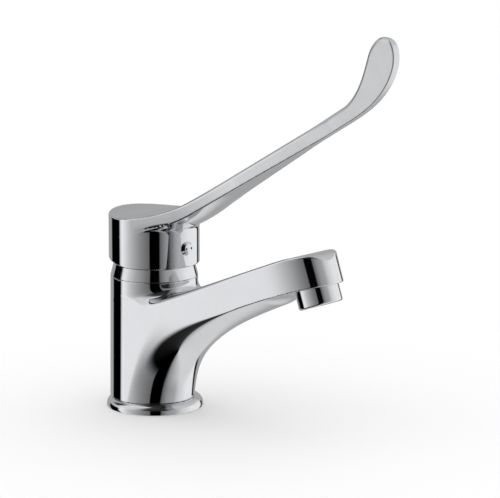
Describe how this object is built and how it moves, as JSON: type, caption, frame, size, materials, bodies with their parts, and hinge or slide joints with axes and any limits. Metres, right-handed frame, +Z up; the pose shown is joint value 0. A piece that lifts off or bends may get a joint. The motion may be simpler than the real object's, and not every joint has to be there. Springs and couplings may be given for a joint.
{
  "type": "elbow lever tap",
  "caption": "Chrome single lever basin mixer: round column, rising spout with aerator, and a long elbow lever that lifts for flow and swings for temperature.",
  "frame": {"origin": "on the deck plane, on the axis of the column's top and of the tap hole", "axes": "+X along the spout and lever, +Z up out of the deck, +Y to the cold side"},
  "size_m": [0.2014, 0.0534, 0.2234],
  "materials": {
    "chrome": "polished chrome plate",
    "brass": "turned brass",
    "steel": "plain stainless steel",
    "pale_plastic": "moulded plastic",
    "ceramic": "lapped ceramic",
    "rubber": "black rubber",
    "red_mark": "red inlay",
    "blue_mark": "blue inlay"
  },
  "bodies": {
    "tap": {"body": "chrome", "base_ring": "chrome", "base_gasket": "rubber", "collar": "chrome", "retaining_nut": "brass", "cartridge_housing": "pale_plastic", "cartridge_base": "pale_plastic", "port_seals": "rubber", "disc_seals": "rubber", "fixed_disc": "ceramic", "aerator_housing": "chrome", "aerator_washer": "rubber", "aerator_insert": "pale_plastic", "aerator_screen": "steel"},
    "turret": {"rotor": "pale_plastic", "pivot_pin": "steel", "rotor_seal": "rubber"},
    "lever": {"handle": "chrome", "lever_stem": "steel", "grub_screw": "steel", "index_plug": "chrome", "hot_dot": "red_mark", "cold_dot": "blue_mark"},
    "slider": {"moving_disc": "ceramic", "disc_carrier": "pale_plastic"}
  },
  "joints": [
    {"name": "lever_swing", "type": "hinge", "parent": "tap", "child": "turret", "pos_m": [0, 0, 0.077], "axis": [0, 0, 1], "range_deg": [-50, 50]},
    {"name": "lever_lift", "type": "hinge", "parent": "turret", "child": "lever", "pos_m": [0, 0, 0.077], "axis": [0, -1, 0], "range_deg": [0, 20]},
    {"name": "disc_slide", "type": "slide", "parent": "turret", "child": "slider", "axis": [1, 0, 0], "range_m": [0, 0.0044]}
  ],
  "couplings": [
    {"joint": "disc_slide", "follows": "lever_lift", "m_per_rad": 0.01237}
  ]
}
